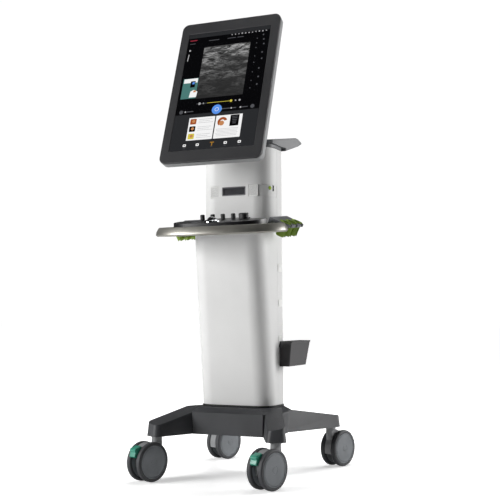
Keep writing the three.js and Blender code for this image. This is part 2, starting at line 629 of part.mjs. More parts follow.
// ---- tilt bracket and monitor ----
const bracketOutline = [
  [spineFront - GAP, COLUMN_TOP - 41], [spineFront - GAP, COLUMN_TOP - 5], [-112, COLUMN_TOP - 5],
  ...arc(PIVOT_Y, PIVOT_Z, 17, 40, 230, 8), [-128, COLUMN_TOP - 41],
];
const shaftBore = (radius, half) => disc(radius, -half, half, 20).rotateY(Math.PI / 2);
const bracketBody = spread(bracketOutline, -BRACKET_HALF_WIDTH, BRACKET_HALF_WIDTH);
const bracket = cut(bracketBody, shaftBore(SHAFT_RADIUS + GAP, 60).translate(0, PIVOT_Y, PIVOT_Z));
piece(scanner, 'tilt_bracket', bracket, 'darkPlastic');

const monitor = new THREE.Group();
monitor.position.set(0, MONITOR_Y, MONITOR_Z);
monitor.rotation.x = rad(90 - MONITOR_TILT);
scanner.add(monitor);
// the pivot seen from the middle of the display: up the screen, and out of it
const leanSin = Math.sin(rad(MONITOR_TILT));
const leanCos = Math.cos(rad(MONITOR_TILT));
const pivotUp = (PIVOT_Y - MONITOR_Y) * leanSin + (PIVOT_Z - MONITOR_Z) * leanCos;
const pivotOut = -(PIVOT_Y - MONITOR_Y) * leanCos + (PIVOT_Z - MONITOR_Z) * leanSin;
const lugInner = BRACKET_HALF_WIDTH + 1;
const lugOuter = lugInner + LUG_THICKNESS;

function rearHousing() {
  const front = -BEZEL_DEPTH - GAP;
  const ring = (shrink, radius, z) => roundedRectangle(MONITOR_WIDTH - shrink, MONITOR_HEIGHT - shrink, radius)
    .map(([x, y]) => new THREE.Vector3(x, y, z));
  const shell = loft([
    ring(14, MONITOR_RADIUS - 6, -MONITOR_DEPTH),
    ring(2, MONITOR_RADIUS - 1, -MONITOR_DEPTH + 7),
    ring(0, MONITOR_RADIUS, front),
  ]);
  const hollow = raised(roundedRectangle(MONITOR_WIDTH - 32, MONITOR_HEIGHT - 32, 12), -MONITOR_DEPTH + WALL, front + 1);
  const lugOutline = [...arc(pivotUp, pivotOut, 12, 180, 360, 8), [pivotUp + 26, -MONITOR_DEPTH + 1],
    [pivotUp - 26, -MONITOR_DEPTH + 1]];
  const lugs = [-1, 1].map((side) => {
    const ends = [side * lugInner, side * lugOuter].sort((a, b) => a - b);
    return spread(lugOutline, ...ends);
  });
  const bore = shaftBore(SHAFT_RADIUS + GAP / 3, 80).translate(0, pivotUp, pivotOut);
  return cut(join(cut(shell, hollow), ...lugs), bore);
}
piece(monitor, 'monitor_rear_housing', rearHousing(), 'greyTrim');
const shaft = shaftBore(SHAFT_RADIUS, lugOuter + 1);
piece(monitor, 'tilt_shaft', shaft, 'steel', [0, pivotUp, pivotOut]);

const bezelBody = raised(roundedRectangle(MONITOR_WIDTH, MONITOR_HEIGHT, MONITOR_RADIUS), -BEZEL_DEPTH, 0.8);
const displayRoom = block(-DISPLAY_WIDTH / 2 - GAP, DISPLAY_WIDTH / 2 + GAP, -DISPLAY_HEIGHT / 2 - GAP,
  DISPLAY_HEIGHT / 2 + GAP, -20, 20);
piece(monitor, 'monitor_bezel', cut(bezelBody, displayRoom), 'darkPlastic');
piece(monitor, 'touch_glass', block(-DISPLAY_WIDTH / 2, DISPLAY_WIDTH / 2, -DISPLAY_HEIGHT / 2, DISPLAY_HEIGHT / 2,
  -GLASS_THICKNESS, 0), 'screenGlass');
piece(monitor, 'lcd_panel', block(-DISPLAY_WIDTH / 2 - 6, DISPLAY_WIDTH / 2 + 6, -DISPLAY_HEIGHT / 2 - 6,
  DISPLAY_HEIGHT / 2 + 6, -BEZEL_DEPTH - 10, -BEZEL_DEPTH - 2 * GAP), 'blackPlastic');

// ---- console ----
// the console pieces lie on its sloping plane: local X, Y up the slope, Z square to it
const console3d = new THREE.Group();
console3d.position.set(0, COLUMN_FRONT_KNEE, consoleBase);
console3d.rotation.x = rad(CONSOLE_SLOPE);
scanner.add(console3d);
const alongSlope = (y) => (y - COLUMN_FRONT_KNEE) / Math.cos(rad(CONSOLE_SLOPE));

// outline of the console moved inwards by inset: bowed front, rounded tips, straight back
function consoleOutline(inset) {
  const front = alongSlope(CONSOLE_FRONT) + inset;
  const tipX = CONSOLE_TIP_X - inset;
  const tipY = alongSlope(CONSOLE_TIP_Y);
  const back = alongSlope(CONSOLE_BACK) - inset;
  const half = new THREE.CubicBezierCurve(
    new THREE.Vector2(0, front),
    new THREE.Vector2(120, front),
    new THREE.Vector2(tipX - 30, front + 22),
    new THREE.Vector2(tipX, tipY),
  ).getPoints(10);
  const turn = new THREE.QuadraticBezierCurve(
    new THREE.Vector2(tipX, tipY),
    new THREE.Vector2(tipX + 10, back - 6),
    new THREE.Vector2(tipX - 34, back),
  ).getPoints(5);
  const right = [...half, ...turn.slice(1)].map((point) => [point.x, point.y]);
  const left = right.slice(1).reverse().map(([x, y]) => [-x, y]);
  return [...right, ...left];
}

const rimSteps = [[4, 0], [0, 5], [2, RIM_HEIGHT / 2], [RIM_WIDTH / 2, RIM_HEIGHT]];
const rimOuter = loft(rimSteps.map(([inset, z]) => consoleOutline(inset).map(([x, y]) => new THREE.Vector3(x, y, z))));
const rimHollow = raised(consoleOutline(RIM_WIDTH), -5, RIM_HEIGHT + 5);
piece(console3d, 'console_rim', cut(rimOuter, rimHollow), 'taupeMetal');

const ballRoom = disc(BALL_RADIUS + 2, 3, 60).translate(0, alongSlope(BALL_Y), 0);
const tray = raised(consoleOutline(RIM_WIDTH + GAP), 0, TRAY_HEIGHT);
piece(console3d, 'console_tray', cut(tray, ballRoom), 'darkPlastic');

// the key deck slopes more than the console, so its own group lies on its top face
const deckFrontY = CONSOLE_FRONT + RIM_WIDTH;
const deckTop = new THREE.Group();
deckTop.position.set(0, deckFrontY, DECK_FRONT_HEIGHT);
deckTop.rotation.x = rad(DECK_SLOPE);
scanner.add(deckTop);
const alongDeck = (y) => (y - deckFrontY) / Math.cos(rad(DECK_SLOPE));

function keyDeck() {
  const back = alongSlope(CONSOLE_BACK) - RIM_WIDTH - 1;
  const half = DECK_HALF_WIDTH;
  const front = alongSlope(CONSOLE_FRONT) + DECK_INSET;
  const bow = new THREE.CubicBezierCurve(
    new THREE.Vector2(0, front),
    new THREE.Vector2(90, front),
    new THREE.Vector2(half - 12, front + 14),
    new THREE.Vector2(half, alongSlope(CONSOLE_TIP_Y)),
  ).getPoints(8).map((point) => [point.x, point.y]);
  const right = [...bow, [half, back - 12], [half - 12, back]];
  const left = right.slice(1).map(([x, y]) => [-x, y]).reverse();
  const platform = raised([...right, ...left], TRAY_HEIGHT + GAP, 80);
  const neckBack = alongSlope(COLUMN_FRONT_TOP) - 5;
  const neckHalf = CONSOLE_BRIDGE / 2;
  const slab = join(
    platform,
    block(-neckHalf, neckHalf, back - 30, neckBack, RIM_HEIGHT + GAP, 80),
  );
  const placed = slab.rotateX(rad(CONSOLE_SLOPE)).translate(0, COLUMN_FRONT_KNEE, consoleBase);
  const above = block(-400, 400, -400, 400, 0, 300);
  const onDeck = (geometry) => geometry.rotateX(rad(DECK_SLOPE)).translate(0, deckFrontY, DECK_FRONT_HEIGHT);
  const rooms = [disc(BALL_RADIUS + 2, -80, 20).translate(0, alongDeck(BALL_Y), 0)];
  for (let i = -2; i <= 2; i += 1) {
    rooms.push(disc(3 + GAP, -8, 5, 12).translate(i * KNOB_PITCH, alongDeck(KNOB_Y), 0));
  }
  for (const side of [-1, 1]) {
    const x = side * KEY_OFFSET;
    const y = alongDeck(BALL_Y);
    rooms.push(block(x - 13 - GAP, x + 13 + GAP, y - 8 - GAP, y + 8 + GAP, -6, 5));
  }
  return cut(placed, onDeck(above), ...rooms.map(onDeck));
}
piece(scanner, 'console_deck', keyDeck(), 'blackPlastic');

const ringProfile = [[BALL_RADIUS + 1, GAP], [BALL_RADIUS + 8, GAP], [BALL_RADIUS + 7, 4.5], [BALL_RADIUS + 3, 8],
  [BALL_RADIUS + 1, 8], [BALL_RADIUS + 1, GAP]];
piece(deckTop, 'trackball_ring', turned(ringProfile, 32), 'polishedRing', [0, alongDeck(BALL_Y), 0]);
piece(deckTop, 'trackball', new THREE.SphereGeometry(BALL_RADIUS, 20, 12), 'darkPlastic',
  [0, alongDeck(BALL_Y), BALL_RISE]);

const knobProfile = (radius, height) => [[0, -6], [3, -6], [3, 0.5], [radius, 0.5], [radius, height * 0.75],
  [radius - 1, height], [0, height]];
for (let i = 0; i < 4; i += 1) {
  piece(deckTop, `knob_${i + 1}`, turned(knobProfile(KNOB_RADIUS, KNOB_HEIGHT), 16), 'blackPlastic',
    [(i - 2) * KNOB_PITCH, alongDeck(KNOB_Y), 0]);
}
piece(deckTop, 'gain_dial', turned(knobProfile(DIAL_RADIUS, KNOB_HEIGHT), 28), 'blackPlastic',
  [2 * KNOB_PITCH, alongDeck(KNOB_Y), 0]);
for (const [place, side] of [['left', -1], ['right', 1]]) {
  const key = block(-13, 13, -8, 8, -3.5, 3);
  piece(deckTop, `select_key_${place}`, key, 'darkPlastic', [side * KEY_OFFSET, alongDeck(BALL_Y), 0]);
}

// ---- probe holders ----
// built flat with u outwards from the inner edge and v backwards, then tilted outwards on the console's slope
const cupOuter = CUP_BORE + CUP_WALL;
const cupU = HOLDER_WIDTH - cupOuter - 5;
const cupV = (i) => (HOLDER_LENGTH * (i + 0.5)) / CUP_COUNT;

// plan of a cup liner: a ring that is open towards the outer edge
function cupPlan(outer, slot) {
  const openOuter = THREE.MathUtils.radToDeg(Math.asin(slot / 2 / outer));
  const openInner = THREE.MathUtils.radToDeg(Math.asin(slot / 2 / CUP_BORE));
  return [...arc(0, 0, outer, openOuter, 360 - openOuter, 16), ...arc(0, 0, CUP_BORE, 360 - openInner, openInner, 16)];
}

for (const [place, side] of [['left', -1], ['right', 1]]) {
  const holder = new THREE.Group();
  holder.position.set(side * HOLDER_INNER, alongSlope(HOLDER_FRONT), HOLDER_RISE);
  holder.rotation.y = rad(side * HOLDER_TILT);
  console3d.add(holder);
  const mirror = (outline) => outline.map(([u, v]) => [side * u, v]);
  const plate = raised(mirror([[0, 0], [HOLDER_WIDTH - 12, 0], [HOLDER_WIDTH, 14], [HOLDER_WIDTH, HOLDER_LENGTH - 14],
    [HOLDER_WIDTH - 12, HOLDER_LENGTH], [0, HOLDER_LENGTH]]), -HOLDER_PLATE, 0);
  const skirt = raised(mirror([[0, 0], [9, 0], [9, HOLDER_LENGTH], [0, HOLDER_LENGTH]]), -HOLDER_PLATE - 14, 0);
  const rooms = Array.from({ length: CUP_COUNT }, (_, i) => {
    const hole = disc(cupOuter + GAP, -HOLDER_PLATE - 5, 5).translate(side * cupU, cupV(i), 0);
    const slot = raised(mirror([[cupU, -CUP_SLOT / 2], [HOLDER_WIDTH + 5, -CUP_SLOT / 2],
      [HOLDER_WIDTH + 5, CUP_SLOT / 2], [cupU, CUP_SLOT / 2]]), -HOLDER_PLATE - 5, 5).translate(0, cupV(i), 0);
    return join(hole, slot);
  });
  piece(holder, `probe_holder_${place}`, cut(join(plate, skirt), ...rooms), 'greyTrim');
  for (let i = 0; i < CUP_COUNT; i += 1) {
    const liner = join(
      raised(mirror(cupPlan(cupOuter, CUP_SLOT)), -CUP_DEPTH, 1.5),
      raised(mirror(cupPlan(cupOuter + 3, CUP_SLOT)), GAP, 3),
    );
    piece(holder, `probe_cup_${place}_${i + 1}`, liner, 'limeRubber', [side * cupU, cupV(i), 0]);
  }
}

// ---- storage bin ----
function storageBin() {
  const inner = COLUMN_HALF_BOTTOM - 0.5;
  const ring = (shrink, x1, y1, z) => [
    [inner + shrink, BIN_FRONT + shrink], [x1 - shrink, BIN_FRONT + shrink], [x1 - shrink, y1 - shrink],
    [inner + shrink, y1 - shrink],
  ].map(([x, y]) => new THREE.Vector3(x, y, z));
  const x1 = inner + BIN_WIDTH;
  const y1 = BIN_FRONT + BIN_LENGTH;
  const outside = loft([ring(0, x1 - 8, y1 - 24, BIN_BOTTOM), ring(0, x1, y1, BIN_BACK_TOP)]);
  const inside = loft([
    ring(BIN_WALL, x1 - 8, y1 - 24, BIN_BOTTOM + BIN_WALL),
    ring(BIN_WALL, x1, y1, BIN_BACK_TOP + 1),
  ]);
  const left = inner + BIN_WALL + 1;
  const right = x1 - BIN_WALL - 1;
  const lowFront = block(left, right, BIN_FRONT - 5, BIN_FRONT + 20, BIN_TOP, BIN_BACK_TOP + 5);
  return cut(outside, inside, lowFront);
}
piece(scanner, 'storage_bin', storageBin(), 'darkPlastic');

export default scanner;
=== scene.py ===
"""Looks of a veterinary ultrasound scanner on a wheeled cart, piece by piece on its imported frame. Metres, +Z up."""
import json
import math
import random

import bmesh
import bpy
from mathutils import Matrix, Vector

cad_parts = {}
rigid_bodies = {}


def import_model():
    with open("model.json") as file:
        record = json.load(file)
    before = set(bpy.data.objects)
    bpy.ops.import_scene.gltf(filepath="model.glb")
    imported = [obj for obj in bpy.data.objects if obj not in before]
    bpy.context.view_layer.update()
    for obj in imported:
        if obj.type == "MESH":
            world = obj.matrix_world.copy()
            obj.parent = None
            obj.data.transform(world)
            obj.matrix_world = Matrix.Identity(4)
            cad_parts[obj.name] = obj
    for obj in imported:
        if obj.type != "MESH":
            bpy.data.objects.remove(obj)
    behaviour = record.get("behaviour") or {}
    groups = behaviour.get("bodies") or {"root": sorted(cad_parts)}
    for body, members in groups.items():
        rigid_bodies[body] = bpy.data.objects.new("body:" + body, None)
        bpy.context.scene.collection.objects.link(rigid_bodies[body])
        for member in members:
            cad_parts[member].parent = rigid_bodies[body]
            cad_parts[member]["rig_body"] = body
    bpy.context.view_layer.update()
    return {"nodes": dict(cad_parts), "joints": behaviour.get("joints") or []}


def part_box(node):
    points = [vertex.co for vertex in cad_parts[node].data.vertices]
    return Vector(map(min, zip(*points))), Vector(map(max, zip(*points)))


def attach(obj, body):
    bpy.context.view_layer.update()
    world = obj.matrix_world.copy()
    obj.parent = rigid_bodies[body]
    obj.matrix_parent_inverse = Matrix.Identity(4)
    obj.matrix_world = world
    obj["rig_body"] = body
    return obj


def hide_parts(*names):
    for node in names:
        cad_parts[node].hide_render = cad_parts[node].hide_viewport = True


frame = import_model()


# ---- base frame ----
# The four-legged base is one aluminium casting that carries the column and takes the caster stems.
# It is sand cast, then powder coated in dark grey, so every edge is soft and the coat has a fine texture.
MM = 0.001


def linear(colour):
    """The linear RGBA of an sRGB hex colour."""
    channels = [int(colour[i:i + 2], 16) / 255 for i in (1, 3, 5)]
    return (*[c / 12.92 if c <= 0.04045 else ((c + 0.055) / 1.055) ** 2.4 for c in channels], 1.0)


def add(material, kind, inputs=None, **settings):
    """One node: settings are its properties, inputs its values, or a pair (node, output) to link from."""
    tree = material.node_tree
    node = tree.nodes.new(kind)
    for name, value in settings.items():
        setattr(node, name, value)
    for name, value in (inputs or {}).items():
        if isinstance(value, tuple) and isinstance(value[0], bpy.types.Node):
            tree.links.new(value[0].outputs[value[1]], node.inputs[name])
        else:
            node.inputs[name].default_value = value
    return node


def finish_of(name, low, high, roughness, patch_mm, grain_mm, relief_mm, metallic=0.0, ior=1.5, coat=0.0):
    """A surface that drifts from shade low to high over patches, with a raised grain that also varies its gloss.

    Real mould, paint and plating textures are some tenths of a millimetre, too fine to show at this size, so every
    grain_mm given to this function is coarser than the real one.
    """
    material = bpy.data.materials.new(name)
    material.use_nodes = True
    links = material.node_tree.links
    gloss_spread = 0.06
    shader = material.node_tree.nodes["Principled BSDF"]
    shader.inputs["Metallic"].default_value = metallic
    shader.inputs["IOR"].default_value = ior
    shader.inputs["Coat Weight"].default_value = coat
    shader.inputs["Coat Roughness"].default_value = 0.12
    place = add(material, "ShaderNodeTexCoord")
    drift = add(material, "ShaderNodeTexNoise", {
        "Vector": (place, "Object"), "Scale": 1 / (patch_mm * MM), "Detail": 4.0,
    })
    shade = add(material, "ShaderNodeValToRGB", {"Fac": (drift, "Fac")})
    shade.color_ramp.elements[0].position = 0.3
    shade.color_ramp.elements[0].color = linear(low)
    shade.color_ramp.elements[1].position = 0.7
    shade.color_ramp.elements[1].color = linear(high)
    links.new(shade.outputs["Color"], shader.inputs["Base Color"])
    grain = add(material, "ShaderNodeTexNoise", {
        "Vector": (place, "Object"), "Scale": 1 / (grain_mm * MM), "Detail": 2.0,
    })
    gloss = add(material, "ShaderNodeMapRange", {
        "Value": (grain, "Fac"), "From Min": 0.3, "From Max": 0.7,
        "To Min": max(roughness - gloss_spread, 0.03), "To Max": roughness + gloss_spread,
    })
    links.new(gloss.outputs["Result"], shader.inputs["Roughness"])
    relief = add(material, "ShaderNodeBump", {"Height": (grain, "Fac"), "Strength": 0.6, "Distance": relief_mm * MM})
    links.new(relief.outputs["Normal"], shader.inputs["Normal"])
    return material


def shown(name, mesh, material, body, sharp_degrees=32):
    """A finished piece: its mesh, its finish and the body that carries it."""
    mesh.shade_smooth()
    mesh.set_sharp_from_angle(angle=math.radians(sharp_degrees))
    mesh.materials.append(material)
    piece = bpy.data.objects.new(name, mesh)
    bpy.context.scene.collection.objects.link(piece)
    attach(piece, body)
    return piece


def rounded(node, material, edge_mm, steps=3):
    """The surface of a frame piece with its flats joined and its hard edges rounded, in place of the plain one."""
    form = bmesh.new()
    form.from_mesh(frame["nodes"][node].data)
    bmesh.ops.remove_doubles(form, verts=form.verts, dist=0.01 * MM)
    bmesh.ops.dissolve_limit(form, angle_limit=math.radians(0.6), verts=form.verts, edges=form.edges)
    mesh = bpy.data.meshes.new(node + "_surface")
    form.to_mesh(mesh)
    form.free()
    piece = shown(node + "_surface", mesh, material, frame["nodes"][node]["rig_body"])
    edges = piece.modifiers.new("rounded_edges", "BEVEL")
    edges.width = edge_mm * MM
    edges.segments = steps
    edges.limit_method = "ANGLE"
    edges.angle_limit = math.radians(32)
    piece.modifiers.new("even_shading", "WEIGHTED_NORMAL").keep_sharp = False
    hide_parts(node)
    return piece


# powder coat on cast aluminium: a dull dark grey, slightly pebbled
cast_coat = finish_of("powder_coated_cast_aluminium", "#2f3033", "#38393c", 0.5, 90, 1.6, 0.12)
rounded("base_frame", cast_coat, 5)

# ---- casters ----
# Each caster has two nylon wheels with grey polyurethane treads on one axle, either side of a nylon hood.
# Each wheel is turned here as its parts are moulded: a dark tread round a paler disc with a lip and a hub cap.
JOINTS = {joint["name"]: joint for joint in frame["joints"]}
PLACES = ("front_left", "front_right", "rear_left", "rear_right")

# tread: cast polyurethane, a dull dark grey; disc and hood: moulded nylon, mid grey with a soft shine
tread_urethane = finish_of("grey_polyurethane_tread", "#323335", "#3c3d41", 0.6, 40, 1.2, 0.05)
disc_nylon = finish_of("moulded_nylon_disc", "#676b6f", "#73777b", 0.46, 50, 1.0, 0.03)
hood_nylon = finish_of("moulded_nylon_hood", "#7c7d7e", "#8c8d8f", 0.4, 40, 1.0, 0.03)


def turned(profile, centre, axis, segments=72):
    """A closed body of revolution: profile is a closed list of (radius, distance along the axis) in millimetres."""
    along = Vector(axis).normalized()
    across = along.orthogonal().normalized()
    third = along.cross(across)
    form = bmesh.new()
    rings = []
    for i in range(segments):
        angle = math.tau * i / segments
        out = across * math.cos(angle) + third * math.sin(angle)
        points = [Vector(centre) + out * radius * MM + along * far * MM for radius, far in profile]
        rings.append([form.verts.new(point) for point in points])
    for i, ring in enumerate(rings):
        following = rings[(i + 1) % segments]
        for j in range(len(profile)):
            k = (j + 1) % len(profile)
            form.faces.new((ring[j], ring[k], following[k], following[j]))
    bmesh.ops.remove_doubles(form, verts=form.verts, dist=0.005 * MM)
    bmesh.ops.dissolve_degenerate(form, edges=form.edges, dist=0.005 * MM)
    bmesh.ops.recalc_face_normals(form, faces=form.faces)
    mesh = bpy.data.meshes.new("turned")
    form.to_mesh(mesh)
    form.free()
    return mesh


def arc_points(cx, cy, radius, start, end, steps):
    """Points round an arc, in the plane of a profile or an outline."""
    turn = [math.radians(start + (end - start) * i / steps) for i in range(steps + 1)]
    return [(cx + radius * math.cos(t), cy + radius * math.sin(t)) for t in turn]


WHEEL_RADIUS = 62.2
INNER_FACE = 13.5
OUTER_FACE = 31.5
SHOULDER = 5.5
TREAD_BORE = 52.0
AXLE_RADIUS = 6
for place in PLACES:
    roll = JOINTS[f"roll_{place}"]
    for side, label in ((-1, "inner"), (1, "outer")):
        tread = [
            (TREAD_BORE, INNER_FACE + 0.5),
            *arc_points(WHEEL_RADIUS - SHOULDER, INNER_FACE + SHOULDER, SHOULDER, -90, 0, 6),
            *arc_points(WHEEL_RADIUS - SHOULDER, OUTER_FACE - SHOULDER - 0.6, SHOULDER, 0, 90, 6),
            (TREAD_BORE, OUTER_FACE - 1.2),
        ]
        tread = [(radius, side * far) for radius, far in tread]
        tread_mesh = turned(tread, roll["pos_m"], roll["axis"])
        shown(f"tread_{place}_{label}", tread_mesh, tread_urethane, f"wheels_{place}")
        disc = [
            (0, INNER_FACE + 1), (TREAD_BORE - 0.4, INNER_FACE + 1), (TREAD_BORE - 0.4, OUTER_FACE - 1.0),
            (TREAD_BORE - 1.2, OUTER_FACE - 0.1), (TREAD_BORE - 3, OUTER_FACE - 0.1),
            (TREAD_BORE - 3.8, OUTER_FACE - 1.4), (TREAD_BORE - 5.4, OUTER_FACE - 1.4),
            (TREAD_BORE - 6.4, OUTER_FACE - 0.5), (12, OUTER_FACE - 0.3),
            (11.4, OUTER_FACE - 0.8), (10.6, OUTER_FACE - 0.8), (10, OUTER_FACE - 0.3), (0, OUTER_FACE - 0.1),
        ]
        disc = [(radius, side * far) for radius, far in disc]
        disc_mesh = turned(disc, roll["pos_m"], roll["axis"])
        shown(f"disc_{place}_{label}", disc_mesh, disc_nylon, f"wheels_{place}")
    axle = [(0, -INNER_FACE - 2), (AXLE_RADIUS, -INNER_FACE - 2), (AXLE_RADIUS, INNER_FACE + 2), (0, INNER_FACE + 2)]
    shown(f"axle_{place}", turned(axle, roll["pos_m"], roll["axis"], 24), hood_nylon, f"wheels_{place}")
    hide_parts(f"twin_wheels_{place}")
    rounded(f"caster_housing_{place}", hood_nylon, 1.6)

# ---- brake pedals ----
# A foot lever on each hood locks the wheels. The front pair is moulded in teal ABS, the rear pair in dark grey.
# It is pressed down with the toe, and its edges are rounded.

# moulded ABS: even colour, a clear shine on the teal and a duller one on the dark
teal_abs = finish_of("teal_moulded_abs", "#2b7f6a", "#37917b", 0.36, 30, 0.9, 0.02, coat=0.2)
dark_abs = finish_of("dark_moulded_abs", "#242427", "#2d2d30", 0.4, 30, 0.9, 0.02)
for place in PLACES:
    front = place.startswith("front")
    rounded(f"brake_pedal_{place}", teal_abs if front else dark_abs, 1.4)

# ---- column seal and spine ----
# The column stands on a black EPDM gasket that closes the joint to the base. Inside it a square steel tube
# bolted to the base carries the console and the monitor.

# moulded rubber: black, without shine
epdm = finish_of("moulded_epdm_rubber", "#131314", "#1b1b1c", 0.7, 30, 1.0, 0.05)
rounded("base_gasket", epdm, 1.2)
# mill-finish steel: bright grey metal with a slight even grain, without the fine lengthwise lines of a drawn tube
tube_steel = finish_of("mill_finish_steel", "#8d9094", "#a0a3a6", 0.34, 60, 1.2, 0.02, metallic=1.0)
rounded("column_spine", tube_steel, 1.5)

# ---- column covers ----
# Three steel sheets folded round the spine hide it: a lower front that leans out to the console, an upper front
# and a rear, painted off-white with a fine texture. The folds are rounded and the seams are dark hairlines.

# textured paint: off-white and dull, so light spreads over the folds without a streak
cover_paint = finish_of("white_textured_sheet_paint", "#d4d4d3", "#dcdcdb", 0.6, 220, 1.3, 0.035)
for node in ("lower_front_cover", "upper_front_cover", "rear_cover"):
    rounded(node, cover_paint, 0.9)


# ---- cable clips on the rear cover ----
# Three white ABS clips along the rear cover's right side hold cables; each is snapped into the sheet.
# Only the outer plate of each clip is drawn, flat against the cover.
def slab(name, outline, base, out, thickness_mm, edge_mm, material, body, up=Vector((0, 0, 1))):
    """A flat moulding: outline is (across, up) points in millimetres on the plane at base that faces out."""
    out = Vector(out).normalized()
    across = Vector(up).cross(out).normalized()
    upward = out.cross(across)
    form = bmesh.new()
    lower = [form.verts.new(Vector(base) + across * x * MM + upward * y * MM) for x, y in outline]
    upper = [form.verts.new(v.co + out * thickness_mm * MM) for v in lower]
    form.faces.new(list(reversed(lower)))
    form.faces.new(upper)
    for i in range(len(outline)):
        j = (i + 1) % len(outline)
        form.faces.new((lower[i], lower[j], upper[j], upper[i]))
    bmesh.ops.recalc_face_normals(form, faces=form.faces)
    mesh = bpy.data.meshes.new(name)
    form.to_mesh(mesh)
    form.free()
    piece = shown(name, mesh, material, body)
    if edge_mm:
        edges = piece.modifiers.new("rounded_edges", "BEVEL")
        edges.width = edge_mm * MM
        edges.segments = 2
        edges.limit_method = "ANGLE"
        edges.angle_limit = math.radians(32)
    return piece


def rectangle(width, height, radius, steps=5):
    """A rectangle with round corners, centred, as outline points in millimetres."""
    x, y = width / 2 - radius, height / 2 - radius
    corners = ((x, y, 0), (-x, y, 90), (-x, -y, 180), (x, -y, 270))
    return [point for cx, cy, start in corners for point in arc_points(cx, cy, radius, start, start + 90, steps)]


# moulded ABS: whiter and shinier than the paint beside it
clip_abs = finish_of("white_moulded_abs", "#f0f0ee", "#f7f7f5", 0.3, 20, 0.8, 0.02)
rear_low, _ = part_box("rear_cover")
CLIP_HEIGHTS = (681, 565, 443)
CLIP_SIZE = (33, 24)
CLIP_THICKNESS = 1.6
COVER_HALF_TOP = 123
COVER_SPREAD = 6  # wider at the foot than at STRAIGHT_FROM
STRAIGHT_FROM = 798
for i, height in enumerate(CLIP_HEIGHTS):
    lean = (STRAIGHT_FROM - height) / (STRAIGHT_FROM - rear_low.z / MM)
    wall = COVER_HALF_TOP + COVER_SPREAD * lean
    slab(f"cable_clip_{i + 1}", rectangle(*CLIP_SIZE, 3), (wall * MM, 0.0, height * MM), (1, 0, 0), CLIP_THICKNESS, 0.5,
         clip_abs, "root")

# ---- band: vent, speaker grilles, ports ----
# Round the upper column runs a band of ABS mouldings: an air vent with slanting blades over a foam filter,
# two speaker grilles and, on the corner, the panel with the power button and a double USB socket.

# spark-textured ABS: charcoal and satin, or smoother and black; foam: dark grey and rough, with no shine
satin_abs = finish_of("charcoal_textured_abs", "#48484b", "#525256", 0.45, 40, 1.0, 0.03)
black_abs = finish_of("black_moulded_abs", "#0f0f11", "#17171a", 0.4, 40, 0.9, 0.02)
filter_foam = finish_of("open_cell_filter_foam", "#48484b", "#5c5c60", 0.9, 3, 1.4, 0.8)
# the same ABS in a paler grey, so the blades stand out from the foam
vent_abs = finish_of("grey_vent_abs", "#5d5d61", "#6a6a6e", 0.45, 40, 1.0, 0.03)
rounded("front_vent_louvre", vent_abs, 0.5)
rounded("dust_filter", filter_foam, 0.8)
rounded("side_port_panel", cover_paint, 0.6)
rounded("usb_socket", black_abs, 0.4)
rounded("mains_inlet", black_abs, 0.8)
rounded("probe_connector_panel", satin_abs, 0.9)

# Each grille is a thin plate full of small round holes with grey cloth behind them. The holes aren't cut here: each is
# drawn as a disc of the cloth that stands 0.1 mm proud of the plate.
# moulded ABS: off-white with a low shine; woven cloth: a dull grey dot at each hole
grille_abs = finish_of("white_grille_abs", "#d6d6d4", "#dfdfdd", 0.42, 40, 1.0, 0.02)
hole_cloth = finish_of("grille_cloth", "#8d8d8c", "#9b9b9a", 0.9, 4, 0.8, 0.05)
HOLE_PITCH = 3.6
HOLE_RADIUS = 1.15
PLATE_BACK = 1.7  # behind the front of the plain grille
PLATE_THICKNESS = 1.5
HOLE_MIDDLE = 1.54  # in front of the plate's back
HOLE_THICKNESS = 0.12
for place in ("left", "right"):
    low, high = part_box(f"speaker_grille_{place}")
    width, height = (high.x - low.x) / MM, (high.z - low.z) / MM
    middle = Vector(((low.x + high.x) / 2, low.y + PLATE_BACK * MM, (low.z + high.z) / 2))
    plate = slab(f"speaker_plate_{place}", rectangle(width, height, 1.5), middle, (0, -1, 0), PLATE_THICKNESS, 0.3,
                 grille_abs, "root")
    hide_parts(f"speaker_grille_{place}")
    holes = bmesh.new()
    columns, rows = int((width - 4) / HOLE_PITCH), int((height - 4) / HOLE_PITCH)
    for i in range(columns):
        for j in range(rows):
            across = (i - (columns - 1) / 2) * HOLE_PITCH
            up = (j - (rows - 1) / 2) * HOLE_PITCH
            spot = Matrix.Translation(middle + Vector((across * MM, -HOLE_MIDDLE * MM, up * MM)))
            bmesh.ops.create_cone(holes, cap_ends=True, segments=10, radius1=HOLE_RADIUS * MM, radius2=HOLE_RADIUS * MM,
                                  depth=HOLE_THICKNESS * MM, matrix=spot @ Matrix.Rotation(math.radians(90), 4, "X"))
    mesh = bpy.data.meshes.new(f"speaker_holes_{place}")
    holes.to_mesh(mesh)
    holes.free()
    shown(f"speaker_holes_{place}", mesh, hole_cloth, "root")

# The power button is a slightly domed lime cap, set in the corner panel.
# polished polycarbonate: a saturated green with a sharp highlight
lime_lens = finish_of("lime_polycarbonate", "#8fae33", "#a6c446", 0.2, 12, 0.8, 0.01, coat=0.5)
rounded("power_button", lime_lens, 0.6)

# ---- inside the column ----
# Behind the covers stand the power supply and the ultrasound engine in zinc-plated cases, and a moulded fan
# that draws air through the vent.

# zinc plate: cool grey metal, satin, drifting in shade over patches of about 18 mm
zinc_plate = finish_of("zinc_plated_sheet", "#8c9093", "#a2a6a8", 0.38, 18, 1.5, 0.02, metallic=1.0)
rounded("power_supply", zinc_plate, 1.5)
rounded("ultrasound_engine", zinc_plate, 1.5)
rounded("fan_frame", black_abs, 0.8)
rounded("fan_rotor", black_abs, 0.5)

# ---- top cap and rear handle ----
# A dark grey cap closes the column, and the rear handle screwed to it is one moulding in glass-filled nylon. It has
# an opening behind the column, so that a hand goes round its bar.

